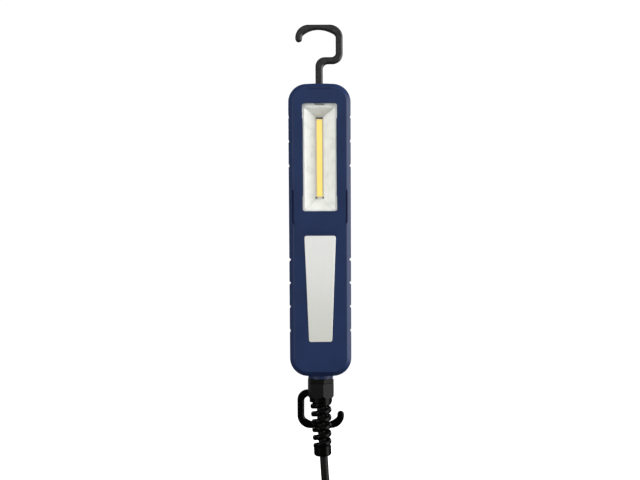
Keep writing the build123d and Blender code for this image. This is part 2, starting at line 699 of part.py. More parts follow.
LED_LEADS = (
    (-5.5, LED_BACK_Y, -152.4),
    (-5.5, 1.4, -152.4),
    (-5.5, 0.2, -171.0),
    (-5.5, WIRE_Y, -175.0),
    (-5.5, WIRE_Y, -180.4),
)
SWITCH_LEADS = (
    (10.4, 7.6, SWITCH_Z - 4.1),
    (10.4, 7.6, -173.0),
    (12.0, 7.6, -190.0),
    (12.0, BOARD_REAR_Y + 0.3, -190.0),
)
MAINS_LEADS = (
    (0.0, 0.0, CORD_INNER_TOP_Z),
    (0.0, 0.0, -269.5),
    (0.0, WIRE_Y, -265.0),
    (0.0, WIRE_Y, -255.3),
)


# ---------------------------------------------------------------- push switch
def switch_collar():
    """The bezel on the rear face, with the tube that guides the button."""
    flange = rod_y(SWITCH_FLANGE_RADIUS, REAR_DEPTH + GAP, REAR_DEPTH + SWITCH_FLANGE, z=SWITCH_Z)
    flange = fillet(flange.faces().sort_by(Axis.Y)[-1].edges(), SWITCH_FLANGE_ROUNDING)
    tube_part = rod_y(SWITCH_TUBE_RADIUS, SWITCH_TUBE_END_Y, REAR_DEPTH + SWITCH_FLANGE / 2, z=SWITCH_Z)
    bore = rod_y(SWITCH_BORE, SWITCH_TUBE_END_Y - OVER, REAR_DEPTH + 3 * OVER, z=SWITCH_Z)
    return flange + tube_part - bore


def switch_button():
    cap = rod_y(BUTTON_RADIUS, BUTTON_FLANGE_Y, BUTTON_TOP_Y, z=SWITCH_Z)
    cap = fillet(cap.faces().sort_by(Axis.Y)[-1].edges(), BUTTON_ROUNDING)
    cap += rod_y(BUTTON_FLANGE_RADIUS, BUTTON_FLANGE_Y, BUTTON_FLANGE_Y + BUTTON_FLANGE, z=SWITCH_Z)
    pusher = rod_y(PUSHER_RADIUS, BUTTON_FLANGE_Y - PUSHER_LENGTH, BUTTON_FLANGE_Y + OVER, z=SWITCH_Z)
    dimple = Pos(0, BUTTON_TOP_Y + DIMPLE_RADIUS - DIMPLE_DEPTH, SWITCH_Z) * Sphere(DIMPLE_RADIUS)
    return cap + pusher - dimple


def switch_body():
    body = rod_y(SWITCH_BODY_RADIUS, SWITCH_BODY_Y, INNER_REAR_Y - GAP, z=SWITCH_Z)
    contacts = Pos(SWITCH_BLOCK_X, SWITCH_Z - 1.0) * Rectangle(SWITCH_BLOCK, SWITCH_BLOCK)
    body += slab(contacts, SWITCH_BODY_Y, SWITCH_BODY_Y + SWITCH_BLOCK_DEPTH)
    body -= rod_y(SWITCH_TUBE_RADIUS + GAP, SWITCH_FLOOR_Y + SWITCH_STEP, INNER_REAR_Y + OVER, z=SWITCH_Z)
    body -= rod_y(SPRING_RADIUS + SWITCH_STEP, SWITCH_FLOOR_Y, SWITCH_FLOOR_Y + 2 * OVER, z=SWITCH_Z)
    return body


def switch_spring():
    """Return spring between the switch body and the button's flange."""
    height = BUTTON_FLANGE_Y - SWITCH_FLOOR_Y - 2 * SPRING_WIRE - 2 * GAP
    coil = Helix(height / SPRING_TURNS, height, SPRING_RADIUS)
    section = Plane(origin=coil @ 0, x_dir=(1, 0, 0), z_dir=coil % 0) * Circle(SPRING_WIRE)
    spring = sweep(section, path=coil, is_frenet=True)
    return Pos(0, SWITCH_FLOOR_Y + SPRING_WIRE + GAP, SWITCH_Z) * Rot(-90, 0, 0) * spring


# ---------------------------------------------------------------- swivel hooks
def hook_outline(stem_end):
    """The hook's edge in (x, z) round its bar point, from the tip over the top and round the stem."""
    r = HOOK_SHOULDER_RADIUS
    left, right, tip_x = -HOOK_REACH, HOOK_REACH, HOOK_TIP_RADIUS - HOOK_REACH
    inner_tip_x = left + 2 * HOOK_TIP_RADIUS
    elbow, inner_elbow = HOOK_ELBOW_RADIUS, HOOK_INNER_ELBOW
    stem = HOOK_STEM_HALF
    neck_z = HOOK_JOG_BOTTOM - HOOK_NECK_RADIUS
    outer_neck_z = HOOK_JOG_TOP - HOOK_NECK_OUTER

    def crown_z(x):
        radius = HOOK_CROWN_RADIUS if x < HOOK_CROWN_X else HOOK_CROWN_FAR_RADIUS
        return math.sqrt(radius ** 2 - (x - HOOK_CROWN_X) ** 2) - radius

    def crown_arc(start, end):
        middle_x = (start[0] + end[0]) / 2
        return ThreePointArc(start, (middle_x, crown_z(middle_x)), end)

    crown_left = (inner_tip_x, crown_z(inner_tip_x))
    crown_right = (HOOK_INNER_X, crown_z(HOOK_INNER_X))
    shoulder_z = HOOK_TOP - r
    elbow_z = HOOK_JOG_BOTTOM + elbow
    jog_left = stem + HOOK_NECK_RADIUS
    edges = [
        Line((left, HOOK_TIP_Z), (left, shoulder_z)),
        CenterArc((left + r, shoulder_z), r, 180, -90),
        Line((left + r, HOOK_TOP), (right - r, HOOK_TOP)),
        CenterArc((right - r, shoulder_z), r, 90, -90),
        Line((right, shoulder_z), (right, elbow_z)),
        CenterArc((right - elbow, elbow_z), elbow, 0, -90),
        Line((right - elbow, HOOK_JOG_BOTTOM), (jog_left, HOOK_JOG_BOTTOM)),
        CenterArc((jog_left, neck_z), HOOK_NECK_RADIUS, 90, 90),
        Line((stem, neck_z), (stem, stem_end)),
        Line((stem, stem_end), (-stem, stem_end)),
        Line((-stem, stem_end), (-stem, outer_neck_z)),
        CenterArc((HOOK_NECK_OUTER - stem, outer_neck_z), HOOK_NECK_OUTER, 180, -90),
        Line((HOOK_NECK_OUTER - stem, HOOK_JOG_TOP), (HOOK_INNER_X - inner_elbow, HOOK_JOG_TOP)),
        CenterArc((HOOK_INNER_X - inner_elbow, HOOK_JOG_TOP + inner_elbow), inner_elbow, -90, 90),
        Line((HOOK_INNER_X, HOOK_JOG_TOP + inner_elbow), crown_right),
        crown_arc(crown_right, (HOOK_CROWN_X, 0)),
        crown_arc((HOOK_CROWN_X, 0), crown_left),
        Line(crown_left, (inner_tip_x, HOOK_TIP_Z)),
        CenterArc((tip_x, HOOK_TIP_Z), HOOK_TIP_RADIUS, 0, -180),
    ]
    face = make_face(edges)
    for end, rounding in ((crown_left, HOOK_CORNER_ROUNDING), (crown_right, HOOK_FAR_CORNER_ROUNDING)):
        corner = [v for v in face.vertices() if (Vector(v.X, v.Y) - Vector(*end)).length < 0.01]
        face = fillet(corner, rounding)
    return face


def hook_blank(stem_end, journal_end):
    """A moulded hook with bevelled edges, a round journal and a clip groove, hanging from its bar point."""
    half = HOOK_THICKNESS / 2
    body = slab(hook_outline(stem_end), -half, half)
    flats = body.faces().sort_by(Axis.Y)
    edges = flats[0].edges() + flats[-1].edges()
    edges = [e for e in edges if abs(e.center().Z - stem_end) > 0.01]
    body = chamfer(edges, HOOK_CHAMFER)
    body += rod_z(JOURNAL_RADIUS, journal_end, stem_end + OVER)
    groove_z = journal_end + JOURNAL_TAIL
    groove = rod_z(JOURNAL_RADIUS + OVER, groove_z, groove_z + CLIP_THICKNESS + 2 * GAP)
    return body - (groove - rod_z(CLIP_GROOVE_RADIUS, groove_z - OVER, groove_z + CLIP_THICKNESS + OVER))


def hook_set(wall_z):
    """Hook, bush, washer and clip, with the wall's outer face at wall_z below the bar point."""
    inner = wall_z - BUSH_LENGTH
    washer_z = inner - GAP - WASHER_THICKNESS
    clip_z = washer_z - 2 * GAP - CLIP_THICKNESS
    journal_end = clip_z - GAP - JOURNAL_TAIL
    hook = hook_blank(wall_z + 0.4, journal_end)
    bore = JOURNAL_RADIUS + JOURNAL_CLEARANCE
    bush = rod_z(BUSH_RADIUS, inner, wall_z) - rod_z(bore, inner - OVER, wall_z + OVER)
    washer_bore = rod_z(bore, washer_z - OVER, inner + OVER)
    washer = rod_z(CLIP_RADIUS, washer_z, washer_z + WASHER_THICKNESS) - washer_bore
    clip = rod_z(CLIP_RADIUS - 0.2, clip_z, clip_z + CLIP_THICKNESS)
    clip -= rod_z(CLIP_GROOVE_RADIUS + 0.02, clip_z - OVER, clip_z + 2)
    clip -= Pos(0, -CLIP_RADIUS / 2 - 0.5, clip_z) * Box(2.4, CLIP_RADIUS, 4)
    return hook, bush, washer, clip


def turned_over(shape):
    """The same hook set upside down behind the gland, turned half a turn about Y."""
    return Pos(0, LOWER_HOOK_Y, BOTTOM_Z - LOWER_HOOK_DROP) * Rot(0, 180, 0) * shape


# ---------------------------------------------------------------- cable gland
def gland_body():
    body = rod_z(GLAND_THREAD_RADIUS, COLLAR_END_Z - GASKET_THICKNESS - OVER, GLAND_TOP_Z)
    hexagon = hex_z(GLAND_AF, GLAND_HEX_END_Z, COLLAR_END_Z - GASKET_THICKNESS, GLAND_TURN)
    body += hexagon & cone_z(12.0, 11.2, GLAND_HEX_END_Z, COLLAR_END_Z)
    body += rod_z(GLAND_MALE_RADIUS, GLAND_END_Z, GLAND_HEX_END_Z + 0.5)
    body -= rod_z(CORD_RADIUS + 0.5, GLAND_END_Z - OVER, GLAND_TOP_Z + OVER)
    return body - rod_z(INSERT_RADIUS + GAP, GLAND_END_Z - OVER, GLAND_HEX_END_Z)


def gland_gasket():
    ring = rod_z(COLLAR_RADIUS - 0.6, COLLAR_END_Z - GASKET_THICKNESS + GAP, COLLAR_END_Z - GAP)
    return ring - rod_z(GLAND_THREAD_RADIUS + GAP, COLLAR_END_Z - 2, COLLAR_END_Z + OVER)


def gland_locknut():
    nut = hex_z(GLAND_AF, INNER_BOTTOM_Z + 0.1, INNER_BOTTOM_Z + LOCKNUT_THICKNESS, 30.0)
    nut_top_z = INNER_BOTTOM_Z + LOCKNUT_THICKNESS
    return nut - rod_z(GLAND_THREAD_RADIUS + GAP, INNER_BOTTOM_Z - OVER, nut_top_z + OVER)


def gland_insert():
    ring = rod_z(INSERT_RADIUS, GLAND_END_Z - 0.6, GLAND_HEX_END_Z - GAP)
    return ring - rod_z(CORD_RADIUS + 0.02, GLAND_END_Z - 2, GLAND_HEX_END_Z + OVER)


def gland_nut():
    """Hexagon with turned corners, then a round collar that holds the spiral."""
    nut = hex_z(NUT_AF, NUT_HEX_END_Z, NUT_TOP_Z, NUT_TURN)
    nut &= cone_z(14.5, 10.6, NUT_HEX_END_Z, NUT_TOP_Z + 0.6) + cone_z(10.2, 14.5, NUT_HEX_END_Z, NUT_TOP_Z)
    nut &= cone_z(10.6, 18.0, NUT_HEX_END_Z, NUT_TOP_Z)
    nut += rod_z(NUT_COLLAR_RADIUS, NUT_END_Z, NUT_HEX_END_Z + 0.5)
    nut -= rod_z(GLAND_MALE_RADIUS + GAP, GLAND_END_Z - 0.8, NUT_TOP_Z + OVER)
    nut -= rod_z(NUT_BORE_RADIUS, NUT_END_Z - OVER, NUT_TOP_Z)
    return nut - rod_z(SPIRAL_SEAT_RADIUS, NUT_END_Z - OVER, SPIRAL_SEAT_Z)


def spiral_relief():
    """Bend protection: a tapering spiral rib between a root ring in the nut and a collar at the end."""
    height = SPIRAL_TOP_Z - SPIRAL_START_Z
    half = SPIRAL_SECTION_WIDTH / 2
    low, high = SPIRAL_OUTER_BOTTOM - half, SPIRAL_OUTER_TOP - half
    taper = math.degrees(math.atan2(high - low, height))
    path = Helix(SPIRAL_PITCH, height, low, cone_angle=taper)
    plane = Plane(origin=path @ 0, x_dir=(1, 0, 0), z_dir=(0, -1, 0))
    section = plane * RectangleRounded(SPIRAL_SECTION_WIDTH, SPIRAL_SECTION_HEIGHT, SPIRAL_SECTION_ROUNDING)
    rib = Pos(0, 0, SPIRAL_START_Z) * sweep(section, path=path, is_frenet=True)
    collar = rod_z(END_COLLAR_RADIUS, END_COLLAR_END_Z, END_COLLAR_TOP_Z)
    collar = chamfer(collar.faces().sort_by(Axis.Z)[0].edges(), 1.3)
    bore = rod_z(SPIRAL_BORE, END_COLLAR_END_Z - OVER, SPIRAL_TOP_Z + 5)
    leaning = Rot(0, 0, SPIRAL_TURN) * rib + collar - bore
    leaning = Pos(0, 0, NUT_END_Z) * Rot(0, -SPIRAL_LEAN, 0) * Pos(0, 0, -NUT_END_Z) * leaning
    leaning -= rod_z(SPIRAL_SEAT_RADIUS + 5, NUT_END_Z - 0.3, NUT_END_Z + 10)
    root = rod_z(SPIRAL_SEAT_RADIUS - GAP, NUT_END_Z - 1.6, SPIRAL_SEAT_Z - GAP)
    return leaning + (root - rod_z(SPIRAL_BORE, NUT_END_Z - 5, SPIRAL_SEAT_Z + OVER))


# ---------------------------------------------------------------- cord, coil and plug
def cord_coil():
    """The outer shape of the tied coil."""
    section = RectangleRounded(COIL_SIDE, COIL_SIDE, COIL_ROUNDING)
    plane = Plane(origin=(COIL_TURN_RADIUS, 0, 0), x_dir=(1, 0, 0), z_dir=(0, -1, 0))
    ring = revolve(plane * section, axis=Axis.Z)
    return Pos(COIL_CENTRE[0], COIL_CENTRE[1], FLOOR_Z + TIE_THICKNESS + COIL_SIDE / 2) * ring


def coil_ties():
    """Two hook-and-loop straps round the bundle."""
    inner = COIL_SIDE + 0.6
    outer = inner + 2 * TIE_THICKNESS
    opening = RectangleRounded(inner, inner, COIL_ROUNDING - 0.4)
    frame = RectangleRounded(outer, outer, COIL_ROUNDING) - opening
    strap = extrude(frame, amount=TIE_WIDTH / 2, both=True)
    group = Part()
    for angle in TIE_ANGLES:
        place = Pos(COIL_CENTRE[0], COIL_CENTRE[1], FLOOR_Z + TIE_THICKNESS + COIL_SIDE / 2 + 0.3)
        group += place * Rot(0, 0, angle) * Pos(COIL_TURN_RADIUS, 0, 0) * Rot(90, 0, 0) * strap
    return group


def plug_section(width, thickness, corner, x):
    plane = Plane(origin=(x, 0, 0), x_dir=(0, 1, 0), z_dir=(1, 0, 0))
    return plane * RectangleRounded(width, thickness, corner)


def plug_body():
    """Moulded two-pin plug along X, its face at x = 0 and its cord end towards -X."""
    wide = (PLUG_WIDTH, PLUG_THICKNESS, PLUG_CORNER)
    body = loft([plug_section(*wide, 0), plug_section(*wide, -PLUG_BLOCK)], ruled=True)
    body += loft([plug_section(*wide, -PLUG_BLOCK), plug_section(21, 18, 8.5, -30)], ruled=True)
    body += loft([plug_section(21, 18, 8.5, -30), plug_section(18, 15, 7.0, -PLUG_LENGTH)], ruled=True)
    big, small = PLUG_RELIEF_RADII
    relief = Pos(-PLUG_LENGTH - PLUG_RELIEF / 2, 0, 0) * Rot(0, 90, 0) * Cone(small, big, PLUG_RELIEF)
    for number in range(4):
        x = -PLUG_LENGTH - 4 - number * 4.4
        radius = big - (big - small) * (-PLUG_LENGTH - x) / PLUG_RELIEF
        ring = Cylinder(radius + OVER, 1.8) - Cylinder(radius - 0.9, 3)
        relief -= Pos(x, 0, 0) * Rot(0, 90, 0) * ring
    body += relief
    for side in (-1, 1):
        groove = Pos(-PLUG_BLOCK / 2, 0, side * PLUG_THICKNESS / 2) * Box(PLUG_BLOCK + 6, 6.5, 3.0)
        body -= groove
    for side in (-1, 1):
        socket = Rot(0, 90, 0) * Cylinder(PIN_ROOT_RADIUS + 0.02, 2 * PIN_ROOT)
        body -= Pos(0, side * PIN_SPACING / 2, 0) * socket
    return body


def plug_pins():
    group = Part()
    for side in (-1, 1):
        y = side * PIN_SPACING / 2
        bar = Pos((PIN_LENGTH + GAP) / 2, y, 0) * Rot(0, 90, 0) * Cylinder(PIN_RADIUS, PIN_LENGTH - GAP)
        root = Pos((GAP - PIN_ROOT) / 2 + GAP, y, 0) * Rot(0, 90, 0) * Cylinder(PIN_ROOT_RADIUS, PIN_ROOT)
        group += fillet(bar.faces().sort_by(Axis.X)[-1].edges(), PIN_TIP_ROUNDING) + root
    return group


def plug_place():
    """On the floor beside the coil, face towards -Y, tilted so that its cord end lies low."""
    tilt = math.radians(PLUG_TILT)
    half = PLUG_THICKNESS / 2
    z = FLOOR_Z + half * math.cos(tilt) + PLUG_BLOCK * math.sin(tilt) + 0.2
    return Pos(PLUG_FACE[0], PLUG_FACE[1], z) * Rot(0, 0, -90) * Rot(0, -PLUG_TILT, 0)


def plug_lead_route():
    relief_end = (plug_place() * Pos(-PLUG_LENGTH - PLUG_RELIEF, 0, 0)).position
    low = FLOOR_Z + TIE_THICKNESS + CORD_RADIUS
    x, y = LEAD_START
    run = (y - relief_end.Y) / 3
    tilt = math.tan(math.radians(PLUG_TILT))
    return (
        (x, y + 2.0, low),
        (x - 0.1, y - run, low - 0.3),
        (x, relief_end.Y + run, relief_end.Z - run * tilt),
        (relief_end.X, relief_end.Y, relief_end.Z),
    )


# ---------------------------------------------------------------- write every node
def main():
    os.makedirs("parts", exist_ok=True)
    save("front_shell", front_shell())
    save("rear_shell", rear_shell())
    save("shell_seal", shell_seal())
    save("label_plate", label_plate())
    save("window_lens", window_lens())
    save("reflector", reflector())
    save("led_board", led_board())
    save("led_phosphor", led_phosphor())
    save("heat_sink", heat_sink())
    save("heat_sink_screws", heat_sink_screws())

    screws = Part()
    for x, z in SCREW_PLACES:
        one = screw(SCREW_RADIUS, SCREW_HEAD_RADIUS, SCREW_HEAD_HEIGHT, SCREW_SEAT_Y, SCREW_DEPTH_Y, x, z)
        screws += both_sides(one)
    save("housing_screws", screws)

    save("driver_board", driver_board())
    save("board_screws", board_screws())
    save("mains_terminal", terminal(*MAINS_TERMINAL, -1))
    save("led_terminal", terminal(*LED_TERMINAL, 1))
    save("driver_transformer", driver_transformer())
    save("bulk_capacitor", round_part(*BULK_CAPACITOR))
    save("filter_capacitor", on_board(*FILTER_CAPACITOR))
    save("bridge_rectifier", on_board(*BRIDGE_RECTIFIER))
    save("driver_fuse", driver_fuse())
    save("led_leads", wire_pair(LED_LEADS, TERMINAL_PITCH))
    save("switch_leads", wire_pair(SWITCH_LEADS, SWITCH_WIRE_PITCH))
    save("mains_leads", wire_pair(MAINS_LEADS, TERMINAL_PITCH))

    save("switch_collar", switch_collar())
    save("switch_button", switch_button())
    save("switch_body", switch_body())
    save("switch_spring", switch_spring())

    for piece, shape in zip(("top_hook", "top_bush", "top_washer", "top_clip"), hook_set(TOP_Z)):
        save(piece, shape)
    names = ("lower_hook", "lower_bush", "lower_washer", "lower_clip")
    for piece, shape in zip(names, hook_set(-LOWER_HOOK_DROP)):
        save(piece, turned_over(shape))

    save("gland_body", gland_body())
    save("gland_gasket", gland_gasket())
    save("gland_locknut", gland_locknut())
    save("gland_insert", gland_insert())
    save("gland_nut", gland_nut())
    save("spiral_relief", spiral_relief())

    save("cord_inner", rod_z(CORD_RADIUS, CORD_START_Z, CORD_INNER_TOP_Z))
    cord, length = tube(CORD_ROUTE, CORD_RADIUS)
    save("power_cord", cord)
    print("power_cord radii", [round(r, 1) for r in bend_radii(CORD_ROUTE)])
    print("power_cord length", round(length, 1), "volume / (section x length)",
          round(cord.volume / (math.pi * CORD_RADIUS ** 2 * length), 4))
    save("cord_coil", cord_coil())
    save("coil_ties", coil_ties())
    lead, length = tube(plug_lead_route(), CORD_RADIUS)
    save("plug_lead", lead)
    print("plug_lead radii", [round(r, 1) for r in bend_radii(plug_lead_route())])
    print("plug_lead length", round(length, 1), "volume / (section x length)",
          round(lead.volume / (math.pi * CORD_RADIUS ** 2 * length), 4))
    print("plug_lead route", [tuple(round(c, 2) for c in p) for p in plug_lead_route()])
    save("plug_body", plug_place() * plug_body())
    save("plug_pins", plug_place() * plug_pins())


main()
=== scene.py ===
# %% [markdown]
# # A corded hand lamp, dressed in Blender
#
# This lamp hangs from a swivel hook. A navy plastic case holds a white reflector with one long LED strip, a
# pearl plate sits below the window, and a second hook and a spiral cord relief come out of the bottom.
#
# The measured model of the lamp is loaded first and stays as it is. Everything below gives it light, finishes
# and the parts that are soft or too fine for the measured model: the cord, its ties and the small marks.

import math

import bmesh
import bpy
from mathutils import Matrix, Vector


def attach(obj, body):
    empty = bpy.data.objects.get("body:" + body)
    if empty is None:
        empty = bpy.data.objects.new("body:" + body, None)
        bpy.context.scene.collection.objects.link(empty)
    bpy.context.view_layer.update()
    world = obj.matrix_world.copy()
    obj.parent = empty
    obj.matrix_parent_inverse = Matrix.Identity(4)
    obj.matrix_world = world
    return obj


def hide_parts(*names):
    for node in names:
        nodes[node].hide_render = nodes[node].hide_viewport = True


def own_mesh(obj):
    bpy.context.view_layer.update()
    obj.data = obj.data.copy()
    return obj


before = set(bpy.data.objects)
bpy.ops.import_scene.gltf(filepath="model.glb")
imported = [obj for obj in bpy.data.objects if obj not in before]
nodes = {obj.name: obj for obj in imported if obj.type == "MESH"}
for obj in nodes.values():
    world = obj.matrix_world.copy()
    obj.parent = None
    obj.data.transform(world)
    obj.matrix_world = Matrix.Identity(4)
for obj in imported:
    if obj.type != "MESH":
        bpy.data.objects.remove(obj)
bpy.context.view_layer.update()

MM = 0.001

# %% [markdown]
# ## Camera
# A lamp like this is shown almost straight on, from far enough that its sides stay nearly parallel. The camera
# stands 0.9 m in front of the hook, a step to the left, level with the middle of the picture and leaning by a
# third of a degree. Its lens is chosen so that the picture is 0.55 m wide where the lamp hangs.

# %% The camera
CAMERA_DISTANCE = 0.9
PICTURE_WIDTH = 0.5504
EYE_LEVEL = -0.1808
SIDE_STEP = math.radians(0.35)
LEAN = math.radians(0.3)

camera = bpy.data.objects.new("camera", bpy.data.cameras.new("camera"))
camera.data.sensor_width = 36.0
camera.data.lens = camera.data.sensor_width * CAMERA_DISTANCE / PICTURE_WIDTH
camera.location = (-CAMERA_DISTANCE * math.sin(SIDE_STEP), -CAMERA_DISTANCE * math.cos(SIDE_STEP), EYE_LEVEL)
camera.rotation_euler = (math.pi / 2, LEAN, -SIDE_STEP)
bpy.context.scene.collection.objects.link(camera)
bpy.context.scene.camera = camera
bpy.context.scene.view_settings.view_transform = "Standard"
print("lens", round(camera.data.lens, 1), "mm")

# %% [markdown]
# ## The mains cord
# Five metres of rubber cord, 7 mm thick. It leaves the strain relief straight down, leans over on to a coil on
# the floor, runs through sixteen neat turns in four layers and ends in the plug.
#
# It could be a swept mesh, but one smooth curve is simpler: a few listed points for the part that hangs, and
# points made in a loop for the turns. A round winding shifts sideways by one diameter once in every turn, and
# drops one layer after four turns. All the shifts share one sector, so neighbouring turns stay parallel.

# %% The hanging part and the coil's turns
CORD_DIAMETER = 7 * MM
FLOOR_Z = -456.0
COIL_CENTRE = Vector((5.4, 72.3))
OUTER_TURN = 59.5
TOP_LAYER = -430.5
TURN_GAP = 7.0
TURNS_PER_LAYER = 4
POINTS_PER_TURN = 16
COIL_START = -55.4
COIL_END = 180 + 15 * 360
SHIFT_FROM, SHIFT_TO = 230, 285
HANGING = [(0, 0, -318), (0, 0, -336), (2.4, 0, -367), (3.9, 0.1, -396.5), (13.4, 6, -418.6), (31.3, 17.9, -430.5)]
LEAD = [(-54.2, 63.0, -451.6), (-54.1, 53.7, -451.4), (-54.1, 46.4, -450.4), (-54.1, 40.4, -449.6)]


def turn_place(number):
    """The radius and height of a turn of the winding, in and out through its layers."""
    layer, step = divmod(number, TURNS_PER_LAYER)
    if layer % 2:
        step = TURNS_PER_LAYER - 1 - step
    return Vector((OUTER_TURN - TURN_GAP * step, TOP_LAYER - TURN_GAP * layer))


def coil_point(angle):
    """A point of the winding, between the turn before the last shift and the turn after it."""
    turn, within = divmod(angle, 360)
    share = min(max((within - SHIFT_FROM) / (SHIFT_TO - SHIFT_FROM), 0), 1)
    first = int(turn) if angle >= 0 else -1
    first, share = (0, 0) if angle < 0 else (first, share * share * (3 - 2 * share))
    last = TURNS_PER_LAYER * 4 - 1
    radius, height = turn_place(min(first, last)).lerp(turn_place(min(first + 1, last)), share)
    # a smooth curve runs a little inside its points, so they stand a little further out
    radius /= 0.75 + 0.25 * math.cos(math.tau / POINTS_PER_TURN)
    turned = math.radians(angle)
    return (COIL_CENTRE.x + radius * math.cos(turned), COIL_CENTRE.y + radius * math.sin(turned), height)


step = 360 / POINTS_PER_TURN
turns = [coil_point(COIL_START + step * (n + 0.5)) for n in range(int((COIL_END - COIL_START) / step))]
cord_route = [Vector(p) * MM for p in HANGING + turns + LEAD]
print(len(cord_route), "points along the cord")

# %% The cord itself
def smooth_curve(name, points, diameter, resolution=4):
    """A round bar along one smooth spline. The points' own radius carries the thickness, so the box fits it."""
    data = bpy.data.curves.new(name, "CURVE")
    data.dimensions = "3D"
    data.resolution_u = resolution
    data.bevel_depth = 1.0
    data.bevel_resolution = 5
    data.use_fill_caps = True
    spline = data.splines.new("NURBS")
    spline.points.add(len(points) - 1)
    for place, point in zip(spline.points, points):
        place.co = (*point, 1)
        place.radius = diameter / 2
    spline.order_u = 3
    spline.use_endpoint_u = True
    piece = bpy.data.objects.new(name, data)
    bpy.context.scene.collection.objects.link(piece)
    return piece


mains_cord = smooth_curve("mains_cord", cord_route, CORD_DIAMETER)
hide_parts("power_cord", "cord_coil", "plug_lead")
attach(mains_cord, "housing")

# %% [markdown]
# ## The coil's ties
# Two hook-and-loop straps hold the bundle. Each is a flat band that goes once round the bundle and laps over
# itself. The band is built as rings of points round the bundle's rounded square, one ring at each of four
# places across the band's width, and the end laps over the start.

# %% Two straps
TIE_ANGLES = (60.0, 235.0)
TIE_WIDTH = 9.0
TIE_THICKNESS = 0.9
BUNDLE_HALF = 14.15
BUNDLE_CORNER = 3.6
BUNDLE_RADIUS = 49.0
BUNDLE_Z = FLOOR_Z + 15.0


def rounded_square(half, corner, share):
    """A point at `share` of the way round a rounded square, starting in the middle of its outer side."""
    flat = 2 * (half - corner)
    bend = math.pi / 2 * corner
    way = (share % 1) * 4 * (flat + bend) + flat / 2
    side, way = divmod(way, flat + bend)
    if way < flat:
        point = Vector((half, way - flat / 2))
    else:
        angle = (way - flat) / corner
        point = Vector((half - corner + corner * math.cos(angle), half - corner + corner * math.sin(angle)))
    turned = side * math.pi / 2
    return Vector((point.x * math.cos(turned) - point.y * math.sin(turned),
                   point.x * math.sin(turned) + point.y * math.cos(turned)))


def strap(name, angle):
    """A band round the bundle whose last part lies on its first part."""
    mesh = bmesh.new()
    count, lap = 120, 0.09
    place = Matrix.Translation((COIL_CENTRE.x, COIL_CENTRE.y, BUNDLE_Z)) @ Matrix.Rotation(math.radians(angle), 4, "Z")
    place = place @ Matrix.Translation((BUNDLE_RADIUS, 0, 0))
    rings = []
    for number in range(count + 1):
        share = number / count * (1 + lap) + 0.16
        lift = TIE_THICKNESS * 1.05 * min(max((number / count * (1 + lap) - 1) / 0.02 + 1, 0), 1)
        ring = []
        for across, deep in ((-1, 0), (-0.92, 1), (0.92, 1), (1, 0)):
            half = BUNDLE_HALF + lift + (TIE_THICKNESS if deep else 0)
            flat = rounded_square(half, BUNDLE_CORNER + half - BUNDLE_HALF, share)
            ring.append(mesh.verts.new(place @ Vector((flat.x, across * TIE_WIDTH / 2, flat.y))))
        rings.append(ring)
    for one, two in zip(rings, rings[1:]):
        for a, b in ((0, 1), (1, 2), (2, 3), (3, 0)):
            mesh.faces.new((one[a], one[b], two[b], two[a]))
    mesh.faces.new(rings[0])
    mesh.faces.new(list(reversed(rings[-1])))
    return as_piece(name, mesh)


def as_piece(name, mesh, smooth_below=35):
    """Turns a bmesh that is measured in millimetres into a piece in metres."""
    bmesh.ops.recalc_face_normals(mesh, faces=mesh.faces)
    mesh.transform(Matrix.Scale(MM, 4))
    data = bpy.data.meshes.new(name)
    mesh.to_mesh(data)
    mesh.free()
    data.shade_smooth()
    data.set_sharp_from_angle(angle=math.radians(smooth_below))
    piece = bpy.data.objects.new(name, data)
    bpy.context.scene.collection.objects.link(piece)
    return piece


ties = [strap("coil_tie_%d" % (n + 1), angle) for n, angle in enumerate(TIE_ANGLES)]
for tie in ties:
    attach(tie, "housing")
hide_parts("coil_ties")
print("straps", [len(tie.data.polygons) for tie in ties])

# %% [markdown]
# ## Small marks on the light source
# Behind the clear window, the LED board carries a solder pad and a printed dash at each end of the strip. In the
# recess of the reflector's upper flange lies a small grey plate, which is painted shade: it darkens the recess
# as its shadow would. They are thin raised plates, each with rounded corners and a soft edge, because a printed
# patch would vanish from the finished meshes.

# %% Thin plates
BOARD_Y = -5.0
STRIP_TOP, STRIP_BOTTOM = -77.7, -143.7
TROUGH_FACE = -13.45


def thin_plate(name, width, height, thickness, corner, place):
    """A small plate in (x, z) with round corners, whose front edge is bevelled. place is its back's middle."""
    mesh = bmesh.new()
    per_corner = 5
    rims = []
    for inset, y in ((0, 0), (0, -0.6 * thickness), (0.4 * thickness, -thickness)):
        rim = []
        for number in range(4 * per_corner):
            quarter, part = divmod(number, per_corner)
            angle = math.radians(90 * quarter + 90 * part / (per_corner - 1))
            sx, sz = ((1, 1), (-1, 1), (-1, -1), (1, -1))[quarter]
            x = sx * (width / 2 - corner) + (corner - inset) * math.cos(angle)
            z = sz * (height / 2 - corner) + (corner - inset) * math.sin(angle)
            rim.append(mesh.verts.new(Vector(place) + Vector((x, y, z))))
        rims.append(rim)
    count = len(rims[0])
    for low, high in zip(rims, rims[1:]):
        for n in range(count):
            mesh.faces.new((low[n], low[(n + 1) % count], high[(n + 1) % count], high[n]))
    mesh.faces.new(rims[0])
    mesh.faces.new(rims[-1])
    return as_piece(name, mesh)


# painted shade: this grey plate lies in the upper flange's recess and darkens it in place of its shadow
SHADE_PLATE_Y, SHADE_PLATE_Z = -12.66, -65.8
recess_shade_plate = thin_plate("window_recess_shade", 8.2, 1.2, 0.4, 0.3, (0, SHADE_PLATE_Y, SHADE_PLATE_Z))
marks = [
    thin_plate("upper_solder_pad", 5.6, 1.3, 0.22, 0.3, (0, BOARD_Y, STRIP_TOP + 1.15)),
    thin_plate("lower_left_solder_pad", 1.7, 1.2, 0.22, 0.3, (-3.0, BOARD_Y, STRIP_BOTTOM - 0.9)),
    thin_plate("lower_right_solder_pad", 1.7, 1.2, 0.22, 0.3, (3.0, BOARD_Y, STRIP_BOTTOM - 0.9)),
]
for mark in [recess_shade_plate, *marks]:
    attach(mark, "housing")
print("marks", [mark.name for mark in marks])

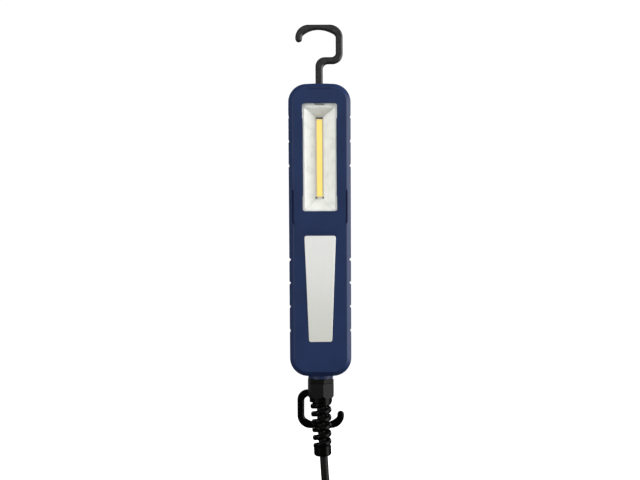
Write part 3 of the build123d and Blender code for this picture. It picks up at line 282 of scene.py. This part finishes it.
# %% [markdown]
# ## How the finishes are made
# Every finish is one Principled shader with a few texture nodes in front of it. Wiring nodes by hand hides the
# idea behind the bookkeeping, so a small class wraps a socket: adding or multiplying two of them adds the Math
# node that does it. Another class makes the material and any node it needs.
#
# All textures read the object's own coordinates in metres, so a grain of 0.4 mm is 0.4 mm on every part.

# %% A wire between nodes, and a finish
class Wire:
    """A value or a colour on its way through a finish. Operators on values add Math nodes."""

    def __init__(self, finish, socket):
        self.finish = finish
        self.socket = socket

    def maths(self, operation, first, second):
        return self.finish.node("ShaderNodeMath", {"operation": operation}, {0: first, 1: second})

    def __add__(self, other):
        return self.maths("ADD", self, other)

    __radd__ = __add__

    def __sub__(self, other):
        return self.maths("SUBTRACT", self, other)

    def __rsub__(self, other):
        return self.maths("SUBTRACT", other, self)

    def __mul__(self, other):
        return self.maths("MULTIPLY", self, other)

    __rmul__ = __mul__

    def size(self):
        return self.maths("ABSOLUTE", self, 0.0)


class Finish:
    """A material: one Principled shader and the nodes that vary it. Uniform values go on the shader's sockets."""

    def __init__(self, name, **uniform):
        self.material = bpy.data.materials.new(name)
        self.material.use_nodes = True
        self.tree = self.material.node_tree
        self.shader = self.tree.nodes["Principled BSDF"]
        place = self.node("ShaderNodeTexCoord", {}, {}, "Object")
        self.place = place
        self.x, self.y, self.z = (self.node("ShaderNodeSeparateXYZ", {}, {"Vector": place}, axis) for axis in "XYZ")
        for socket, value in uniform.items():
            self.feed(socket.replace("_", " "), value)

    def node(self, kind, settings, sockets, output=0):
        """Any node: its settings first, then the values or wires of its sockets."""
        made = self.tree.nodes.new(kind)
        for name, value in settings.items():
            if name == "stops":
                ramp = made.color_ramp
                for place, colour in value[2:]:
                    ramp.elements.new(place)
                for element, (place, colour) in zip(ramp.elements, sorted(value)):
                    element.position, element.color = place, (*colour, 1)
            else:
                setattr(made, name, value)
        for name, value in sockets.items():
            if isinstance(value, Wire):
                self.tree.links.new(value.socket, made.inputs[name])
            else:
                made.inputs[name].default_value = value
        return Wire(self, made.outputs[output])

    def feed(self, socket, value):
        if isinstance(value, Wire):
            self.tree.links.new(value.socket, self.shader.inputs[socket])
        elif isinstance(value, tuple):
            self.shader.inputs[socket].default_value = (*value, 1)
        else:
            self.shader.inputs[socket].default_value = value

    def cloud(self, blob, detail=2.0, stretch=None):
        """Soft noise from 0 to 1, whose blobs are about `blob` millimetres across."""
        place = self.place
        if stretch:
            place = self.node("ShaderNodeVectorMath", {"operation": "MULTIPLY"}, {0: place, 1: stretch})
        sockets = {"Vector": place, "Scale": 1 / (blob * MM), "Detail": detail}
        return self.node("ShaderNodeTexNoise", {}, sockets)

    def ramp(self, wire, low, high, to_low=0.0, to_high=1.0):
        """Stretches the part of a value from low to high over a new range, and clamps the rest."""
        sockets = {"Value": wire, "From Min": low, "From Max": high, "To Min": to_low, "To Max": to_high}
        return self.node("ShaderNodeMapRange", {"interpolation_type": "SMOOTHSTEP"}, sockets)

    def mix(self, first, second, mask):
        """From one colour to another by a mask."""
        first, second = ((*c, 1) if isinstance(c, tuple) else c for c in (first, second))
        return self.node("ShaderNodeMix", {"data_type": "RGBA"}, {0: mask, 6: first, 7: second}, 2)

    def relief(self, height, depth, under=None):
        """Bumps whose height of 1 stands `depth` millimetres out."""
        sockets = {"Height": height, "Distance": depth * MM, "Strength": 1.0}
        if under:
            sockets["Normal"] = under
        return self.node("ShaderNodeBump", {}, sockets)


def shade(colour, factor):
    return tuple(min(1.0, part * factor) for part in colour)


def dress(finish, *names):
    """Gives the finish to measured nodes by name, or to pieces."""
    for name in names:
        piece = nodes[name] if isinstance(name, str) else name
        piece.data.materials.clear()
        piece.data.materials.append(finish.material)
    print(finish.material.name, "on", len(names))


# %% [markdown]
# ## The spring under the button
# The return spring of the push switch gets shorter as the button goes in. The scene winds its own spring
# from rings of points that follow a helix.

# %% Button spring
SPRING_LOW, SPRING_HIGH, SPRING_Z = 10.8, 14.5, -163.0
SPRING_TURNS, SPRING_RADIUS, SPRING_WIRE = 4, 4.0, 0.35


def wound_spring(name, steps=28, around=8):
    """A round wire along a helix, with its two ends closed."""
    mesh = bmesh.new()
    rings = []
    for number in range(SPRING_TURNS * steps + 1):
        angle = 2 * math.pi * number / steps
        out = Vector((math.cos(angle), 0, math.sin(angle)))
        rise = (SPRING_HIGH - SPRING_LOW) * number / (SPRING_TURNS * steps)
        middle = Vector((0, SPRING_LOW + rise, SPRING_Z)) + SPRING_RADIUS * out
        turns = [2 * math.pi * part / around for part in range(around)]
        ring = [middle + SPRING_WIRE * (math.cos(t) * out + math.sin(t) * Vector((0, 1, 0))) for t in turns]
        rings.append([mesh.verts.new(point) for point in ring])
    for low, high in zip(rings, rings[1:]):
        for n in range(around):
            mesh.faces.new((low[n], low[(n + 1) % around], high[(n + 1) % around], high[n]))
    mesh.faces.new(rings[0])
    mesh.faces.new(rings[-1])
    return as_piece(name, mesh)


spring = wound_spring("button_spring")
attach(spring, "housing")
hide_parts("switch_spring")
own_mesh(spring)
print("spring", len(spring.data.polygons), "faces")

# %% [markdown]
# ## The navy case
# The case is moulded nylon with a fine spark-eroded texture, which takes most of the gloss away. Its colour is
# even, with a slight cloudiness from the moulding. On the bevel band round the front face the colour is mixed
# towards a lighter navy, a painted highlight for the sheen that the side light gives there, and the surface is
# a little glossier. The grain is noise at two sizes, one of 0.35 mm and one of 1 mm.

# %% Navy nylon
NAVY = (0.0102, 0.0228, 0.0745)
navy = Finish("navy_nylon", Specular_IOR_Level=0.26)
clouds = navy.cloud(38, 3)
grain = navy.cloud(0.35, 2)
coarse = navy.cloud(1.1, 1)
colour = navy.mix(shade(NAVY, 0.9), shade(NAVY, 1.1), navy.ramp(clouds, 0.3, 0.7))
colour = navy.mix(colour, shade(NAVY, 1.5), navy.ramp(grain, 0.62, 0.9) * 0.25)
# painted highlight: a band in depth round the front face (the bevel) gets a lighter navy as if lit; the same band also
# lowers the roughness
bevel_gloss_and_painted_highlight = navy.ramp(navy.y, -0.0158, -0.0150) * navy.ramp(navy.y, -0.0110, -0.0124)
navy.feed("Base Color", navy.mix(colour, shade(NAVY, 1.25), bevel_gloss_and_painted_highlight * 0.5))
navy.feed("Roughness", 0.47 + clouds * 0.06 - bevel_gloss_and_painted_highlight * 0.06)
navy.feed("Normal", navy.relief(grain * 0.6 + coarse * 0.4, 0.025))
dress(navy, "front_shell", "rear_shell")

# %% [markdown]
# ## Clear, white and yellow: the window and the light source
# The window is clear polycarbonate. A real refracting solid would keep direct light off the reflector, so the
# pane lets light through by its alpha, and only a few percent of it reflects, more at grazing angles. The
# reflector is glossy white plastic. The strip is silicone with yellow phosphor, a row of tiny chips under it.

# %% Window, reflector, board and strip
clear = Finish("clear_window", Base_Color=(0.95, 0.97, 0.97), Roughness=0.05, Metallic=1.0)
edge_on = clear.node("ShaderNodeLayerWeight", {}, {"Blend": 0.5}, "Facing")
smudge = clear.ramp(clear.cloud(14, 3), 0.45, 0.75)
clear.feed("Alpha", edge_on * edge_on * edge_on * 0.5 + 0.012 + smudge * 0.006)
dress(clear, "window_lens")

white = Finish("reflector_white", Specular_IOR_Level=0.5)
patch = white.cloud(9, 2)
white.feed("Base Color", white.mix((0.80, 0.815, 0.77), (0.86, 0.87, 0.83), white.ramp(patch, 0.35, 0.65)))
white.feed("Roughness", 0.24 + patch * 0.08)
white.feed("Normal", white.relief(white.cloud(2.2, 1), 0.012))
dress(white, "reflector")

board = Finish("white_board", Roughness=0.45)
board.feed("Base Color", board.mix((0.72, 0.73, 0.70), (0.8, 0.8, 0.77), board.cloud(3, 2)))
dress(board, "led_board")

phosphor = Finish("yellow_phosphor", Emission_Strength=0.35)
dots = phosphor.node("ShaderNodeTexVoronoi", {}, {"Vector": phosphor.place, "Scale": 1 / (1.3 * MM)})
middle = phosphor.ramp(phosphor.x.size(), 0.0026, 0.0019)
glow = phosphor.mix((0.62, 0.42, 0.12), (1.0, 0.76, 0.20), middle)
glow = phosphor.mix(glow, (1.0, 0.86, 0.30), phosphor.ramp(dots, 0.5, 0.1) * 0.3)
phosphor.feed("Base Color", glow)
phosphor.feed("Emission Color", glow)
phosphor.feed("Roughness", 0.4 + dots * 0.15)
phosphor.feed("Normal", phosphor.relief(1 - dots, 0.03))
dress(phosphor, "led_phosphor")

solder = Finish("dark_solder", Roughness=0.4, Metallic=0.6)
solder.feed("Base Color", solder.mix((0.05, 0.055, 0.05), (0.16, 0.16, 0.14), solder.cloud(0.6, 2)))
dress(solder, *marks)

# painted shade: the grey of the recess plate stands in for the shadow in the recess
recess_shade_grey = Finish("grey_recess_shade", Roughness=0.4)
recess_shade_grey.feed("Base Color", recess_shade_grey.mix((0.28, 0.29, 0.28), (0.36, 0.37, 0.36), recess_shade_grey.cloud(1.5, 2)))
dress(recess_shade_grey, recess_shade_plate)

# %% [markdown]
# ## The pearl plate
# The plate below the window is a thin aluminium-coated label: a satin silver-white, a little darker towards the
# bottom, with a faint vertical brushing. A brushed look is noise stretched along one direction, which moves the
# roughness and a very shallow relief.

# %% Pearl silver
pearl = Finish("pearl_silver", Metallic=0.25, Specular_IOR_Level=0.5)
brushing = pearl.cloud(0.5, 3, (1.0, 1.0, 0.03))
fade = pearl.ramp(pearl.z, -0.268, -0.19)
tone = pearl.mix((0.71, 0.72, 0.655), (0.86, 0.865, 0.83), fade)
pearl.feed("Base Color", pearl.mix(tone, (0.72, 0.73, 0.70), pearl.ramp(brushing, 0.45, 0.75) * 0.35))
pearl.feed("Roughness", 0.36 + brushing * 0.12)
pearl.feed("Normal", pearl.relief(brushing, 0.006))
dress(pearl, "label_plate")

# %% [markdown]
# ## Black plastics and rubber
# The top hook is glass-filled nylon: nearly black, satin, with a dull mottling. The gland is smoother and
# glossier nylon, and the spiral is the same. The lower hook is the same part as the top one, but it wears the
# gland's darker nylon as painted shade, for the shade it sits in behind the gland. The cord, the plug and the
# button are rubber, which is matt, and shows dust in its texture.

# %% Black finishes
def black(name, tone, roughness, mottle, depth, gloss=0.4):
    """A black plastic or rubber, mottled at two sizes."""
    finish = Finish(name, Specular_IOR_Level=gloss)
    blobs = finish.cloud(mottle, 3)
    fine = finish.cloud(mottle / 6, 2)
    finish.feed("Base Color", finish.mix(shade(tone, 0.75), shade(tone, 1.35), finish.ramp(blobs, 0.3, 0.7)))
    finish.feed("Roughness", (roughness - 0.05) + 0.1 * blobs)
    finish.feed("Normal", finish.relief(fine * 0.7 + blobs * 0.3, depth))
    return finish


hook_nylon = black("hook_nylon", (0.017, 0.017, 0.0165), 0.42, 3.0, 0.03, 0.35)
dress(hook_nylon, "top_hook", "switch_collar")
gland_nylon_and_lower_hook_shade = black("gland_nylon_and_lower_hook_shade", (0.0012, 0.0012, 0.0010), 0.28, 2.4, 0.02, 0.05)
# painted shade: the lower hook gets the darker gland nylon rather than hook_nylon, so that it looks shaded
dress(gland_nylon_and_lower_hook_shade, "lower_hook", "gland_body", "gland_nut", "gland_locknut", "spiral_relief")
rubber = black("cord_rubber", (0.0045, 0.0045, 0.0041), 0.46, 1.6, 0.03, 0.14)
dress(rubber, mains_cord, "cord_inner", "plug_body", "gland_gasket", "gland_insert", "shell_seal",
      "power_cord", "cord_coil", "plug_lead")
button_rubber = black("button_rubber", (0.02, 0.02, 0.02), 0.6, 1.2, 0.04, 0.3)
dress(button_rubber, "switch_button")

tape = Finish("tie_fabric", Roughness=0.85, Sheen_Weight=0.35)
threads = tape.node("ShaderNodeTexWave", {"wave_type": "BANDS", "bands_direction": "DIAGONAL"},
                    {"Vector": tape.place, "Scale": 900.0, "Distortion": 1.5})
tape.feed("Base Color", tape.mix((0.012, 0.012, 0.014), (0.045, 0.045, 0.05), threads))
tape.feed("Normal", tape.relief(threads * 0.6 + tape.cloud(0.5, 2) * 0.4, 0.12))
dress(tape, "coil_ties", *ties)

# %% [markdown]
# ## Metals
# Screws and clips are zinc-plated steel, with fine turning marks. The plug's pins are nickel-plated brass, bright
# and smooth, with faint scratches along them.

# %% Steel, nickel and aluminium
def metal(name, tone, roughness, scratch, stretch=(1.0, 1.0, 1.0)):
    """A bare or plated metal with fine scratches."""
    finish = Finish(name, Metallic=1.0)
    lines = finish.cloud(scratch, 3, stretch)
    finish.feed("Base Color", finish.mix(shade(tone, 0.85), tone, lines))
    finish.feed("Roughness", roughness + 0.14 * lines)
    finish.feed("Normal", finish.relief(lines, 0.008))
    return finish


dress(metal("zinc_steel", (0.56, 0.57, 0.58), 0.28, 0.5), "housing_screws", "heat_sink_screws", "board_screws",
      "top_washer", "top_clip", "lower_washer", "lower_clip", "switch_spring", spring)
dress(metal("nickel_pins", (0.70, 0.67, 0.62), 0.14, 0.6, (1.0, 0.06, 1.0)), "plug_pins")
dress(metal("sink_aluminium", (0.70, 0.71, 0.72), 0.3, 0.8, (1.0, 1.0, 0.04)), "heat_sink")

# %% [markdown]
# ## Inside the case
# Nothing in here shows while the case is closed, but the model can be opened, so each part has its own finish:
# green board, dark ferrite, sleeved capacitors and coloured wires, each a plastic with a light mottling.

# %% Inner parts
def plastic(name, tone, roughness, mottle=4.0):
    """A moulded or coated part with slight cloudiness."""
    finish = Finish(name)
    blobs = finish.cloud(mottle, 3)
    finish.feed("Base Color", finish.mix(shade(tone, 0.85), shade(tone, 1.12), blobs))
    finish.feed("Roughness", roughness + 0.1 * blobs)
    finish.feed("Normal", finish.relief(finish.cloud(mottle / 8, 2), 0.015))
    return finish


dress(plastic("board_green", (0.02, 0.16, 0.06), 0.35), "driver_board")
dress(plastic("terminal_green", (0.04, 0.30, 0.12), 0.3), "mains_terminal", "led_terminal")
dress(plastic("ferrite", (0.05, 0.05, 0.052), 0.6, 1.5), "driver_transformer")
dress(plastic("capacitor_sleeve", (0.02, 0.03, 0.09), 0.25), "bulk_capacitor")
dress(plastic("film_yellow", (0.62, 0.38, 0.04), 0.3), "filter_capacitor")
dress(plastic("chip_black", (0.018, 0.018, 0.018), 0.45, 1.5), "bridge_rectifier", "switch_body")
dress(plastic("ceramic_cream", (0.72, 0.70, 0.62), 0.3), "driver_fuse")
dress(plastic("wire_red", (0.5, 0.02, 0.015), 0.35), "led_leads")
dress(plastic("wire_brown", (0.16, 0.07, 0.03), 0.35), "mains_leads", "switch_leads")
dress(plastic("bush_grey", (0.10, 0.10, 0.105), 0.35), "top_bush", "lower_bush")

# %% [markdown]
# ## Smooth or sharp
# The measured nodes are made of flat triangles. Each face is told to shade smoothly, and an edge stays sharp only
# where two faces meet at more than 28 degrees, so round parts look round and real edges stay crisp.

# %% Shading
SHARP_ANGLE = math.radians(28)
for node in nodes.values():
    node.data.shade_smooth()
    node.data.set_sharp_from_angle(angle=SHARP_ANGLE)

# %% [markdown]
# ## The studio
# A lamp for a catalogue stands in front of white. The floor is a pale disc that is white paint near the lamp, so
# that it takes soft shadows, and turns into plain white light towards its rim, so that no horizon shows. A white
# dome stands behind everything, and only the camera sees it. A wide softbox on the right gives the case its
# bright bevel, a weaker one on the left fills the other side, and one high in front lights the face. Two more
# stand behind, out of the front's reach, so that the rear face and the coil can be read as well.

# %% Floor and dome
FLOOR_RADIUS = 3.0
DOME_RADIUS = 7.0


def glowing(name, rings):
    """A material that is paint in the middle and plain light outside. rings are its two radii in metres."""
    finish = Finish(name, Roughness=0.9, Specular_IOR_Level=0.0, Emission_Strength=1.04)
    away = finish.node("ShaderNodeVectorMath", {"operation": "LENGTH"}, {0: finish.place}, "Value")
    mask = finish.ramp(away, *rings)
    finish.feed("Base Color", finish.mix((0.8, 0.8, 0.8), (0.0, 0.0, 0.0), mask))
    finish.feed("Emission Color", finish.mix((0.7, 0.7, 0.7), (1.0, 1.0, 1.0), mask))
    return finish


mesh = bmesh.new()
bmesh.ops.create_circle(mesh, cap_ends=True, radius=FLOOR_RADIUS, segments=96)
floor = bpy.data.objects.new("studio_floor", bpy.data.meshes.new("studio_floor"))
mesh.to_mesh(floor.data)
floor.location.z = FLOOR_Z * MM
mesh.clear()
bmesh.ops.create_icosphere(mesh, subdivisions=4, radius=DOME_RADIUS)
dome = bpy.data.objects.new("studio_dome", bpy.data.meshes.new("studio_dome"))
mesh.to_mesh(dome.data)
mesh.free()
for piece, rings in ((floor, (0.45, 1.1)), (dome, (0.0, 0.1))):
    bpy.context.scene.collection.objects.link(piece)
    piece.data.materials.append(glowing(piece.name, rings).material)
for kind in ("diffuse", "glossy", "transmission", "volume_scatter", "shadow"):
    setattr(dome, "visible_" + kind, False)
floor.visible_glossy = floor.visible_diffuse = False

# %% Lights
TARGET = Vector((0, 0, -0.18))


def softbox(name, place, width, height, watts):
    light = bpy.data.objects.new(name, bpy.data.lights.new(name, "AREA"))
    light.data.shape = "RECTANGLE"
    light.data.size, light.data.size_y, light.data.energy = width, height, watts
    light.location = place
    light.visible_camera = False
    light.rotation_euler = (TARGET - Vector(place)).to_track_quat("-Z", "Y").to_euler()
    bpy.context.scene.collection.objects.link(light)


softbox("right_softbox", (1.2, -0.4, -0.14), 0.9, 1.3, 31)
softbox("left_softbox", (-1.15, -1.05, 0.0), 0.8, 1.0, 16)
softbox("top_softbox", (0.1, -0.85, 0.95), 0.9, 0.7, 8)
softbox("rear_left_softbox", (-0.8, 1.25, 0.25), 0.7, 0.9, 13)
softbox("rear_right_softbox", (1.0, 1.1, 0.1), 0.7, 0.9, 8)
world = bpy.data.worlds.new("studio")
world.use_nodes = True
world.node_tree.nodes["Background"].inputs["Color"].default_value = (0.10, 0.10, 0.104, 1)
bpy.context.scene.world = world
